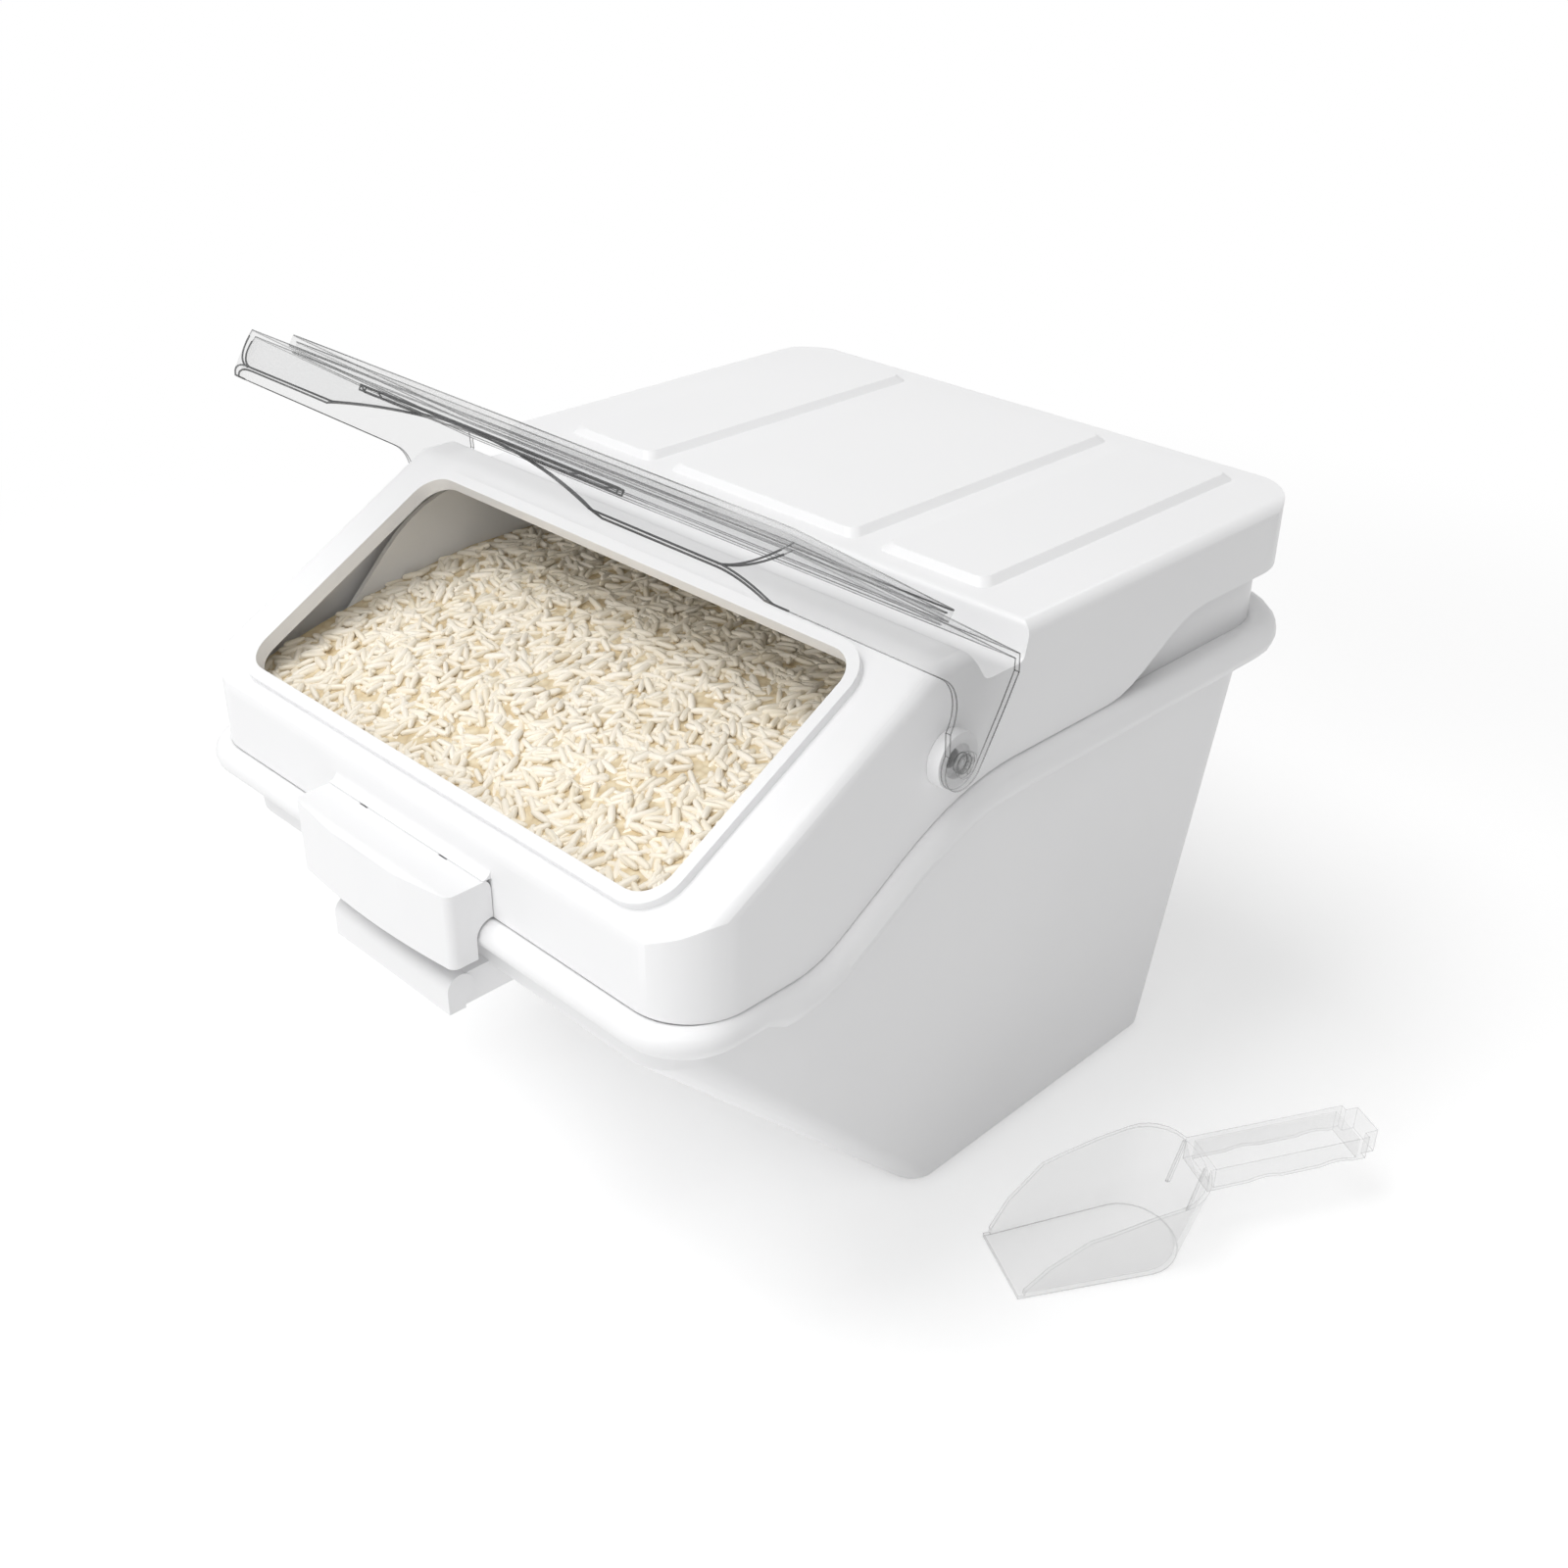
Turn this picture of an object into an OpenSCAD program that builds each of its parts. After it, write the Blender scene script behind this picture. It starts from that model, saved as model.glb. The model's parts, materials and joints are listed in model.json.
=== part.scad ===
// Shelf bin for rice with a lift-off cover, a clear flip lid, a swing latch and a scoop.
// Millimetres. +Z is up, the front faces -Y, +X is on the right of someone who faces the front.
// The origin is the centre of the base, on the surface that the bin stands on.
// The lid is drawn open, as it stands in use, and the latch is drawn closed.

/* [Bin] */
// Width of the base
base_w = 232; // [210:2:250]
// Depth of the base
base_d = 176; // [150:2:190]
// Corner radius of the base
base_r = 13; // [8:1:20]
// Wall thickness of the bin
bin_t = 2.5; // [2:0.5:4]
// Height where the front wall stops sloping and stands upright
crease_z = 165; // [150:1:172]
// Height that the upper wall stands above the rim inside the cover, at the front
upstand = 22; // [14:1:24]
// Distance in front of the origin where the upper wall's edge stops rising
upstand_bend = 146; // [140:1:152]

/* [Rim] */
// Width over the centre line of the rolled rim
rim_w = 296; // [286:2:300]
// Distance from the origin to the rim's centre line at the front
rim_front = 257; // [250:1:262]
// Distance from the origin to the rim's centre line at the rear
rim_rear = 105; // [100:1:112]
// Distance from the rim's centre line in to the outside of the bin's wall
rim_inset = 6; // [5:0.5:7]
// Height of the rim's crest along the low front
crest_front = 193.5; // [188:0.5:196]
// Height of the rim's crest along the sides and the rear
crest_rear = 237; // [230:0.5:242]
// Distance in front of the origin where the rim starts to rise
rise_start = 194; // [188:1:200]
// Distance in front of the origin where the rim is at its full height
rise_end = 122; // [114:1:130]
// Radius of the roll along the front
roll_front_r = 6; // [5:0.5:7]
// Radius of the roll along the sides and the rear
roll_side_r = 8; // [7:0.5:9]
// Distance in front of the origin where the roll grows thicker
roll_step = 216; // [208:1:224]

/* [Cover] */
// Width of the cover
cover_w = 300; // [296:1:304]
// Distance from the origin to the cover's front wall
cover_front = 256; // [252:1:257]
// Distance from the origin to the cover's rear wall
cover_rear = 105; // [103:1:112]
// Height of the cover's flat top
cover_z = 290; // [286:1:300]
// Wall thickness of the cover
cover_t = 2.5; // [2:0.5:3]
// Corner radius at the front
cover_r_front = 26; // [18:1:32]
// Corner radius at the rear
cover_r_rear = 32; // [24:1:40]
// Radius of the long top edges, and of the frame's long edges
cover_edge_r = 6; // [3:0.5:8]
// Height of the cover's front wall top, where the window frame starts to slope
frame_z = 224.5; // [220:0.5:228]
// Slope of the window frame
frame_slope = 29; // [27:0.5:30]
// Distance in front of the origin where the flat top starts
box_front = 88; // [84:1:92]
// Distance in front of the origin to the rear of the frame's hump
hump_rear = 122; // [119:1:126]
// Depth of the trough between the hump and the flat top
trough = 14; // [9:1:15]
// Height of the cover's foot where it steps up at the rear
foot_rear = 261; // [254:1:264]
// Distance in front of the origin where that step starts
step_start = 33; // [26:1:40]
// Distance behind the origin where that step ends
step_end = 29; // [22:1:36]

/* [Window] */
// Width of the window
window_w = 247; // [236:1:252]
// Margin of the frame above and below the window
window_margin = 11.3; // [9.5:0.1:14]
// Corner radius of the window
window_r = 12; // [8:1:18]
// Width of the raised lip round the window
lip_w = 5; // [3:0.5:5]
// Height of the raised lip round the window
lip_h = 3.5; // [2:0.5:4]
// Depth of the return inside the window
return_d = 3; // [3:0.5:9]

/* [Panels on the top] */
// Width of the middle panel
panel_w = 108; // [90:1:116]
// Width of the two side panels
side_panel_w = 54; // [40:1:60]
// Gap between two panels
panel_gap = 12; // [6:1:16]
// Margin in front of and behind the panels
panel_margin = 10; // [6:1:16]
// Height of the panels
panel_h = 3; // [2:0.5:5]
// Width of the panels' sloping edge
panel_edge = 3; // [1:0.5:5]

/* [Lid hinge] */
// Distance in front of the origin to the hinge axis
pivot_front = 131.5; // [128:0.5:134]
// Height of the hinge axis
pivot_z = 253; // [251:0.5:255]
// Radius of the hinge pin
pin_r = 3.5; // [3:0.25:4]
// Running clearance of the hinge pin, all round
pin_gap = 0.08; // [0.04:0.01:0.1]
// Radius of the hinge bush
bush_r = 11; // [9.5:0.5:12]
// Distance that the bush stands out of the cover
bush_out = 5.5; // [4:0.5:7]
// Radius of the recess in the bush
recess_r = 6.5; // [5:0.25:7.5]
// Depth of the recess in the bush
recess_d = 3; // [2:0.5:3.5]
// Length of the hinge pin inside the cover
pin_tail = 2; // [1:0.5:2.5]
// Radius of the hinge pin's head
head_r = 5.2; // [4.5:0.1:7]
// Thickness of the hinge pin's head
head_t = 1.4; // [1:0.1:2.5]

/* [Flip lid] */
// Angle that the open lid rises above the level
lid_rise = 33; // [25:1:38]
// Wall thickness of the lid
lid_t = 2.4; // [2:0.1:3]
// Gap between the bush and the lid's arm
arm_gap = 0.5; // [0.3:0.1:1.5]
// Radius of the arm round the hinge
arm_r = 10.5; // [9:0.5:12]
// Height of the lid's top above the hinge axis
lid_h = 43; // [42.5:0.5:44]
// Height of the side skirt's lower edge above the hinge axis
skirt_h = 23.5; // [20:0.5:27]
// Distance from the hinge axis to the front lip's lower edge
lid_reach = 130; // [129.5:0.5:134]
// Height of the front lip's lower edge above the hinge axis
lip_edge_h = 28.5; // [25:0.5:31]
// Distance that the lid reaches behind the hinge axis
lid_back = 4; // [2:0.5:5]
// Corner radius of the lid at the front
lid_corner = 28; // [12:1:32]
// Height of the raised field
field_h = 4.5; // [3:0.5:6]
// Margin of the raised field at the sides
field_side = 18; // [15:1:22]
// Distance from the hinge axis to the raised field's rear edge
field_rear = 12; // [8:1:20]
// Distance from the hinge axis to the raised field's front edge
field_front = 114; // [106:1:116]
// Width of the finger notch in the front lip
notch_w = 146; // [100:2:170]
// Height of the finger notch
notch_h = 9; // [6:0.5:10]
// Distance that the pull stands out round the notch
pull_out = 3; // [2:0.5:3.5]

/* [Latch] */
// Width of the latch
latch_w = 97; // [86:1:104]
// Depth of the latch in front of the cover's front wall
latch_d = 19; // [18:0.5:22]
// Crown of the latch's front
latch_crown = 3; // [1:0.5:5]
// Radius of the latch's upright front edges
latch_edge_r = 3.5; // [1.5:0.5:4]
// Height of the latch's lower edge
latch_foot = 179.5; // [176:0.5:181]
// Height of the latch's hinge axis
latch_axis_z = 206; // [203:0.5:208]
// Distance from the cover's front wall to the latch's hinge axis
latch_axis_d = 6.5; // [6.2:0.1:7.5]
// Radius of the latch's knuckles
knuckle_r = 4.4; // [4:0.1:4.6]
// Radius of the latch pin
latch_pin_r = 1.5; // [1.2:0.1:2]
// Wall thickness of the latch
latch_t = 2.5; // [2:0.1:3]
// Distance between the two lugs that carry the latch
lug_span = 50; // [36:1:60]
// Width of one lug
lug_w = 4; // [3:0.5:6]

/* [Grip] */
// Width of the grip under the latch
grip_w = 74; // [60:1:90]
// Distance from the origin to the grip's nose
grip_front = 271; // [266:1:274]
// Height of the grip's lower edge
grip_foot = 151.5; // [148:0.5:156]
// Height of the grip
grip_h = 15.5; // [12:0.5:17]
// Thickness of the grip's front bar
grip_bar = 7.5; // [6:0.5:10]

/* [Rice] */
// Height of the rice behind the front wall
rice_front = 217; // [205:1:218]
// Height of the rice in the middle
rice_mid = 242; // [235:1:250]
// Height of the rice at the rear wall
rice_rear = 238; // [220:1:250]
// Gap between the rice and the bin's wall
rice_gap = 0.3; // [0.2:0.1:0.6]

/* [Scoop] */
// Distance from the origin to the middle of the scoop's front edge, sideways
scoop_x = 172.5; // [170:0.5:200]
// Distance in front of the origin to the middle of the scoop's front edge
scoop_y = 98; // [80:1:120]
// Turn of the scoop
scoop_turn = -28.5; // [-50:0.5:-10]
// Length of the bowl
bowl_l = 90; // [80:1:100]
// Width of the bowl at its top
bowl_w = 56; // [50:1:62]
// Width of the bowl at its base
bowl_base_w = 44; // [36:1:48]
// Height of the bowl
bowl_h = 42; // [36:1:48]
// Wall thickness of the scoop
scoop_t = 1.8; // [1.4:0.1:2.4]
// Length of the handle
handle_l = 83; // [70:1:100]
// Width of the handle
handle_w = 22; // [18:0.5:26]
// Depth of the handle
handle_d = 12; // [9:0.5:14]

/* [Hidden] */
eps = 0.01;
// Clearance between pieces of different bodies that meet at rest
seat_gap = 0.3;
// Clearance of a spigot or pin that is pressed in
press_gap = 0.02;
round_fn = 48;
// The children of a hull take fewer facets
hull_fn = 32;

// Bin
wall_half = rim_w / 2 - rim_inset;
wall_front = rim_front - rim_inset;
wall_rear = rim_rear - rim_inset;
wall_r_front = 20;
wall_r_rear = 26;
base_edge = 4;
floor_t = 3;
full_z = crest_rear - roll_side_r;
// The upper wall ends under the floor of the cover's trough
upstand_top = cover_z - trough - cover_t - 1.5;
upstand_foot = crest_front + upstand;

// Rim
roll_sides = 12;
rise_steps = 8;
corner_steps = 8;
web_half = 1.25;
rim_r_front = 22;
rim_r_rear = 34;
foot_front = crest_front + seat_gap;
foot_side = crest_rear + seat_gap;
// Length of the round that eases the rim into its rise and out of it
ease_low = 12;
ease_high = 30;

// Cover
slope_rise = cover_z - frame_z;
frame_len = slope_rise / sin(frame_slope);
window_l = frame_len - 2 * window_margin;
hump_run = 10;
trough_run = 3;
// Length of the rounds along the cover's cross creases
crease = 5;
small_crease = 2.5;
far = 400;

// Panels
panel_y0 = -box_front + panel_margin;
panel_y1 = cover_rear - panel_margin - 3;
panel_r = 5;

// Hinge and lid
arm_in = cover_w / 2 + bush_out + arm_gap;
arm_out = arm_in + lid_t;
spigot_r = 8;
arm_neck = 16;
arm_round = 16;
lip_lean = tan(frame_slope);
lid_top_reach = lid_reach - (lid_h - lip_edge_h) * lip_lean;
field_r = 8;

// Latch
latch_y = -cover_front - latch_axis_d;
latch_front_y = -cover_front - latch_d;
latch_top_round = 4;
side_play = 0.4;
// Angle that the latch opens, which its slots leave room for
latch_open = 60;
lug_r = latch_pin_r + 1.3;
lug_base_t = 1.2;
hood_gap = 0.2;
hood_d = latch_axis_d - 0.6 * knuckle_r - 0.3;
roll_y = -rim_front;
roll_z = crest_front - roll_front_r;
nib_gap = 1;
crown_r = (pow(latch_w / 2, 2) + pow(latch_crown, 2)) / (2 * latch_crown);

// Scoop
scoop_front_w = 38;
mouth_l = 27;
mouth_h = 30;
bowl_r = 20;
bowl_back = 10;
handle_end = 6;
// Two small ribs on the inside of the bowl's back, in line with the handle
rib_t = 1.2;
rib_h = 1;
rib_l = 22;
// The handle's finger scallops
scallop_r = 26;
scallop_d = 1.2;

// Rounded outline with its own radius at the front and at the rear, all in true arcs
module outline(half, front, rear, r_front, r_rear) {
    polygon([
        [-half, -front + r_front], [-half + r_front, -front], [half - r_front, -front],
        [half, -front + r_front], [half, rear - r_rear], [half - r_rear, rear],
        [-half + r_rear, rear], [-half, rear - r_rear]
    ]);
    for (s = [-1, 1]) {
        translate([s * (half - r_front), -front + r_front]) circle(r_front, $fn = round_fn);
        translate([s * (half - r_rear), rear - r_rear]) circle(r_rear, $fn = round_fn);
    }
}

// Rounded rectangle about the origin, in true arcs
module round_rect(w, l, r) {
    square([w - 2 * r, l], center = true);
    square([w, l - 2 * r], center = true);
    for (x = [-1, 1], y = [-1, 1])
        translate([x * (w / 2 - r), y * (l / 2 - r)]) circle(r, $fn = round_fn);
}

// A slab of an outline, for a hull, thin where no height is given
module slab(z, half, front, rear, r_front, r_rear, h = eps) {
    translate([0, 0, z]) linear_extrude(h)
        outline(half, front, rear, r_front, r_rear, $fn = hull_fn);
}

// Extrudes an outline drawn in Y and Z along X, from x0 to x1
module along_x(x0, x1) {
    translate([x0, 0, 0]) rotate([90, 0, 90]) linear_extrude(x1 - x0) children();
}

// Points of a round that leaves p0, turns at p1 and arrives at p2
function bend(p0, p1, p2, steps) = [
    for (i = [0:steps]) let (t = i / steps)
        (1 - t) * (1 - t) * p0 + 2 * t * (1 - t) * p1 + t * t * p2
];

// Points that round the corner p1 on the way from p0 to p2, starting a length before it
function soft(p0, p1, p2, length) = bend(
    p1 + (p0 - p1) * length / norm(p0 - p1), p1, p1 + (p2 - p1) * length / norm(p2 - p1), 5);

// The rim's crest in Y and Z, from the front to the rear, raised by up
rise_grade = (crest_rear - crest_front) / (rise_start - rise_end);
function crest(up) = concat(
    [[-rim_front - 40, crest_front + up]],
    bend([-rise_start - ease_low, crest_front + up], [-rise_start, crest_front + up],
        [-rise_start + ease_low, crest_front + up + rise_grade * ease_low], 5),
    bend([-rise_end - ease_high, crest_rear + up - rise_grade * ease_high],
        [-rise_end, crest_rear + up], [-rise_end + ease_high, crest_rear + up], rise_steps)
);

// Height of the crest at a place y
function crest_at(y) = lookup(y, concat(crest(0), [[far, crest_rear]]));

// Half-width, front and rear of the bin's outside at a height below the full wall
function part_way(z) = min(z / full_z, 1);
function body_half(z) = base_w / 2 + (wall_half - base_w / 2) * part_way(z);
function body_rear(z) = base_d / 2 + (wall_rear - base_d / 2) * part_way(z);
function body_front(z) = base_d / 2 + (wall_front - base_d / 2) * min(z / crease_z, 1);

// The bin's shape drawn in by inset, from its floor at z0 to its top at z1
module bin_form(inset, z0, z1) {
    hull() {
        slab(z0, body_half(z0) - inset - base_edge, body_front(z0) - inset - base_edge,
            body_rear(z0) - inset - base_edge, base_r - base_edge, base_r - base_edge);
        slab(z0 + base_edge, body_half(z0 + base_edge) - inset, body_front(z0 + base_edge) - inset,
            body_rear(z0 + base_edge) - inset, base_r, base_r);
        slab(crease_z, body_half(crease_z) - inset, wall_front - inset,
            body_rear(crease_z) - inset, wall_r_front - inset, wall_r_rear - inset);
        slab(full_z, wall_half - inset, wall_front - inset, wall_rear - inset,
            wall_r_front - inset, wall_r_rear - inset, z1 - full_z);
    }
}

// The space under the top edge of the bin's upper wall, drawn in Y and Z
module upstand_profile() {
    ramp = -upstand_bend - (upstand_top - upstand_foot);
    polygon(concat(
        [[far, -10], [-far, -10], [-far, upstand_foot]],
        bend([ramp - 10, upstand_foot], [ramp, upstand_foot], [ramp + 8, upstand_foot + 8], 4),
        bend([-upstand_bend - 20, upstand_top - 20], [-upstand_bend, upstand_top],
            [-upstand_bend + 26, upstand_top], 6),
        [[far, upstand_top]]
    ));
}

// Plan points of the rim's centre line, with the outward direction at each
function rim_arc(cx, cy, r, a0) = [
    for (i = [0:corner_steps]) let (a = a0 + 90 * i / corner_steps)
        [cx + r * cos(a), cy + r * sin(a), a]
];
function rim_side(x, y0, y1, a) = [
    for (y = [y0:(y1 - y0) / 16:y1]) [x, y, a]
];
rim_half = rim_w / 2;
rim_plan = concat(
    rim_arc(-rim_half + rim_r_front, -rim_front + rim_r_front, rim_r_front, 180),
    rim_arc(rim_half - rim_r_front, -rim_front + rim_r_front, rim_r_front, 270),
    [for (y = [-roll_step - 4, -roll_step + 4]) [rim_half, y, 0]],
    rim_side(rim_half, -rise_start - ease_low, -rise_end + ease_high, 0),
    rim_arc(rim_half - rim_r_rear, rim_rear - rim_r_rear, rim_r_rear, 0),
    rim_arc(-rim_half + rim_r_rear, rim_rear - rim_r_rear, rim_r_rear, 90),
    rim_side(-rim_half, -rise_end + ease_high, -rise_start - ease_low, 180),
    [for (y = [-roll_step + 4, -roll_step - 4]) [-rim_half, y, 180]]
);

// Radius of the roll at a place y
function roll_r(y) = y < -roll_step ? roll_front_r : roll_side_r;

// One ring of the rolled rim: a round bead with a web that reaches in to the wall
function rim_ring(p) = let (
    r = roll_r(p[1]), z = crest_at(p[1]) - r, n = [cos(p[2]), sin(p[2])],
    web = rim_inset + (wall_half - body_half(z)) * abs(n[0]) + bin_t / 2,
    a0 = asin(web_half / r)
) concat(
    [for (i = [0:roll_sides]) let (a = -180 + a0 + (360 - 2 * a0) * i / roll_sides)
        [p[0] + n[0] * r * cos(a), p[1] + n[1] * r * cos(a), z + r * sin(a)]],
    [for (s = [1, -1]) [p[0] - n[0] * web, p[1] - n[1] * web, z + s * web_half]]
);

// A closed tube through a list of rings
module closed_sweep(rings) {
    m = len(rings);
    k = len(rings[0]);
    polyhedron(
        points = [for (ring = rings) for (q = ring) q],
        faces = [
            for (i = [0:m - 1]) for (j = [0:k - 1]) for (h = [0, 1]) let (
                a = i * k + j, b = i * k + (j + 1) % k,
                c = ((i + 1) % m) * k + (j + 1) % k, d = ((i + 1) % m) * k + j
            ) h == 0 ? [a, b, c] : [a, c, d]
        ]
    );
}

module bin_body() {
    color("white") {
        difference() {
            bin_form(0, 0, upstand_top);
            bin_form(bin_t, floor_t, upstand_top + 5);
            difference() {
                translate([-far / 2, -far, 0]) cube([far, 2 * far, upstand_top + 10]);
                along_x(-far / 2 - 1, far / 2 + 1) upstand_profile();
            }
        }
        closed_sweep([for (p = rim_plan) rim_ring(p)]);
    }
}

module front_grip() {
    nose_r = grip_bar - 1.5;
    color("white") difference() {
        union() {
            along_x(-grip_w / 2, grip_w / 2) {
                translate([-grip_front, grip_foot]) square([grip_bar, grip_h - nose_r]);
                translate([-grip_front + nose_r, grip_foot + grip_h - nose_r])
                    circle(nose_r, $fn = round_fn);
                translate([-grip_front + nose_r, grip_foot])
                    square([grip_bar - nose_r, grip_h]);
            }
            along_x(-grip_w / 2 + 1, grip_w / 2 - 1)
                translate([-grip_front + grip_bar - eps, grip_foot + 0.5])
                    square([grip_front - wall_front + 8, grip_h - 1.5]);
        }
        bin_form(0, 0, upstand_top);
    }
}

module rice_fill() {
    color("blanchedalmond") intersection() {
        bin_form(bin_t + rice_gap, floor_t, full_z + 30);
        along_x(-far / 2, far / 2) polygon(concat(
            [[wall_rear, floor_t], [-far, floor_t], [-far, rice_front]],
            bend([-wall_front + 4, rice_front], [-rise_start, rice_mid - 8], [-rise_end, rice_mid], 8),
            [[-box_front, rice_mid], [wall_rear, rice_rear]]
        ));
    }
}

// The cover's side outline drawn in by inset, closed far below
module cover_side(inset) {
    down = inset / cos(frame_slope);
    top = cover_z - inset;
    floor_z = cover_z - trough - inset;
    front = -cover_front + inset;
    z_front = frame_z - down + inset * tan(frame_slope);
    polygon(concat(
        [[front, 100]],
        soft([front, 100], [front, z_front], [front + (top - z_front) / tan(frame_slope), top], crease),
        soft([front, z_front], [front + (top - z_front) / tan(frame_slope), top],
            [-hump_rear - inset / 2, top], crease),
        soft([front, top], [-hump_rear - inset / 2, top], [-hump_rear + hump_run - inset, floor_z],
            small_crease),
        soft([-hump_rear - inset / 2, top], [-hump_rear + hump_run - inset, floor_z],
            [-box_front - trough_run + inset, floor_z], small_crease),
        soft([-hump_rear + hump_run - inset, floor_z], [-box_front - trough_run + inset, floor_z],
            [-box_front + inset, top], small_crease),
        soft([-box_front - trough_run + inset, floor_z], [-box_front + inset, top],
            [cover_rear - inset, top], small_crease),
        soft([-box_front + inset, top], [cover_rear - inset, top], [cover_rear - inset, 100], small_crease),
        [[cover_rear - inset, 100]]
    ));
}

// The space under the cover's foot, drawn in Y and Z
module under_foot() {
    polygon(concat(
        [[-far, crest_front + seat_gap]], crest(seat_gap),
        [for (i = [0:8]) let (t = i / 8)
            [-step_start + t * (step_start + step_end),
                foot_side + (foot_rear - foot_side) * (1 - cos(180 * t)) / 2]],
        [[far, foot_rear], [far, 0], [-far, 0]]
    ));
}

// The cover's whole shape drawn in by inset
module cover_form(inset) {
    half = cover_w / 2 - inset;
    edge = cover_edge_r;
    intersection() {
        along_x(-half, half) cover_side(inset);
        linear_extrude(cover_z + 10) outline(half, cover_front - inset, cover_rear - inset,
            cover_r_front - inset, cover_r_rear - inset);
        rotate([90, 0, 0]) translate([0, 0, -far]) linear_extrude(2 * far) {
            translate([-half, 0]) square([2 * half, cover_z - inset - edge]);
            translate([-half + edge, 0]) square([2 * (half - edge), cover_z - inset]);
            for (s = [-1, 1]) translate([s * (half - edge), cover_z - inset - edge])
                circle(edge, $fn = round_fn);
        }
        on_frame() rotate([90, 0, 0]) translate([0, 0, -far]) linear_extrude(2 * far) {
            translate([-half, -far]) square([2 * half, far - inset - edge]);
            translate([-half + edge, -far]) square([2 * (half - edge), far - inset]);
            for (s = [-1, 1]) translate([s * (half - edge), -inset - edge]) circle(edge, $fn = round_fn);
        }
    }
}

// Places its children on the window frame: X across, Y up the slope, Z out of the frame
module on_frame() {
    translate([0, -cover_front, frame_z]) rotate([frame_slope, 0, 0])
        translate([0, frame_len / 2, 0]) children();
}

module top_panel(x, w) {
    l = panel_y1 - panel_y0;
    translate([x, panel_y0 + l / 2, cover_z - eps]) hull() {
        linear_extrude(eps) round_rect(w, l, panel_r, $fn = hull_fn);
        translate([0, 0, panel_h]) linear_extrude(eps)
            round_rect(w - 2 * panel_edge, l - 2 * panel_edge, panel_r, $fn = hull_fn);
    }
}

module cover_shell() {
    lip_out = 2 * lip_w;
    color("white") difference() {
        union() {
            difference() {
                cover_form(0);
                cover_form(cover_t);
                along_x(-far / 2, far / 2) under_foot();
            }
            intersection() {
                on_frame() translate([0, 0, -return_d]) linear_extrude(return_d)
                    round_rect(window_w + 2 * cover_t, window_l + 2 * cover_t, window_r + cover_t);
                cover_form(0);
            }
            on_frame() translate([0, 0, -1]) linear_extrude(lip_h + 1)
                round_rect(window_w + lip_out, window_l + lip_out, window_r + lip_w);
            top_panel(0, panel_w);
            for (s = [-1, 1])
                top_panel(s * (panel_w / 2 + panel_gap + side_panel_w / 2), side_panel_w);
        }
        on_frame() translate([0, 0, -far / 4]) linear_extrude(far / 2)
            round_rect(window_w, window_l, window_r);
        translate([-far / 2, -pivot_front, pivot_z]) rotate([0, 90, 0])
            cylinder(far, spigot_r + press_gap, spigot_r + press_gap, $fn = round_fn);
    }
}

// Hinge bush for the right side: a spigot in the cover's wall, a boss outside with a recess
module pivot_bush() {
    wall_x = cover_w / 2;
    color("white") translate([0, -pivot_front, pivot_z]) rotate([0, 90, 0]) difference() {
        union() {
            translate([0, 0, wall_x - cover_t]) cylinder(cover_t, spigot_r, spigot_r, $fn = round_fn);
            translate([0, 0, wall_x]) cylinder(bush_out, bush_r, bush_r, $fn = round_fn);
        }
        translate([0, 0, wall_x - cover_t - 1])
            cylinder(cover_t + bush_out + 2, pin_r + pin_gap, pin_r + pin_gap, $fn = round_fn);
        translate([0, 0, wall_x + bush_out - recess_d])
            cylinder(recess_d + 1, recess_r, recess_r, $fn = round_fn);
    }
}

// Hinge pin for the right side: pressed into the arm, it turns in the bush
module hinge_pin() {
    tail_x = cover_w / 2 - pin_tail;
    slot_w = 1.4;
    color("gainsboro") translate([0, -pivot_front, pivot_z]) rotate([0, 90, 0]) difference() {
        union() {
            translate([0, 0, tail_x]) cylinder(arm_out - tail_x, pin_r, pin_r, $fn = round_fn);
            translate([0, 0, arm_out]) cylinder(head_t, head_r, head_r, $fn = round_fn);
        }
        for (a = [0, 90]) rotate([0, 0, a + 20])
            translate([-head_r * 0.7, -slot_w / 2, arm_out + head_t / 2])
                cube([head_r * 1.4, slot_w, head_t]);
    }
}

// A hood over the latch's rear edge, and two lugs that hang from it on the cover's front wall
module latch_bracket() {
    hood_z = latch_axis_z + knuckle_r + hood_gap;
    hood_lip = 0.4;
    color("white") {
        along_x(-latch_w / 2, latch_w / 2) difference() {
            translate([-cover_front - hood_d, hood_z]) square([hood_d, hood_d + hood_lip]);
            translate([-cover_front - hood_d, hood_z + hood_d + hood_lip])
                circle(hood_d, $fn = round_fn);
        }
        for (s = [-1, 1]) difference() {
            along_x(s * lug_span / 2 - lug_w / 2, s * lug_span / 2 + lug_w / 2) {
                translate([latch_y, latch_axis_z]) circle(lug_r, $fn = round_fn);
                translate([latch_y, latch_axis_z - lug_r]) square([latch_axis_d, lug_r - side_play]);
                translate([-cover_front - lug_base_t, latch_axis_z - lug_r])
                    square([lug_base_t, hood_z + hood_lip - latch_axis_z + lug_r]);
            }
            translate([-far / 2, latch_y, latch_axis_z]) rotate([0, 90, 0])
                cylinder(far, latch_pin_r + pin_gap, latch_pin_r + pin_gap, $fn = round_fn);
        }
    }
}

module latch_pin() {
    length = latch_w - 2 * latch_t - 2 * side_play;
    color("gainsboro") translate([-length / 2, latch_y, latch_axis_z]) rotate([0, 90, 0])
        cylinder(length, latch_pin_r, latch_pin_r, $fn = round_fn);
}

// The latch's outside drawn in by inset, in Y and Z
module latch_profile(inset) {
    r = latch_top_round;
    front = latch_front_y - latch_crown + inset;
    top = latch_axis_z + knuckle_r - inset;
    translate([front, latch_foot - inset]) square([latch_y - front, top - r - latch_foot + inset]);
    translate([front + r, top - r]) square([latch_y - front - r, r]);
    translate([front + r, top - r]) circle(r, $fn = round_fn);
}

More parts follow.
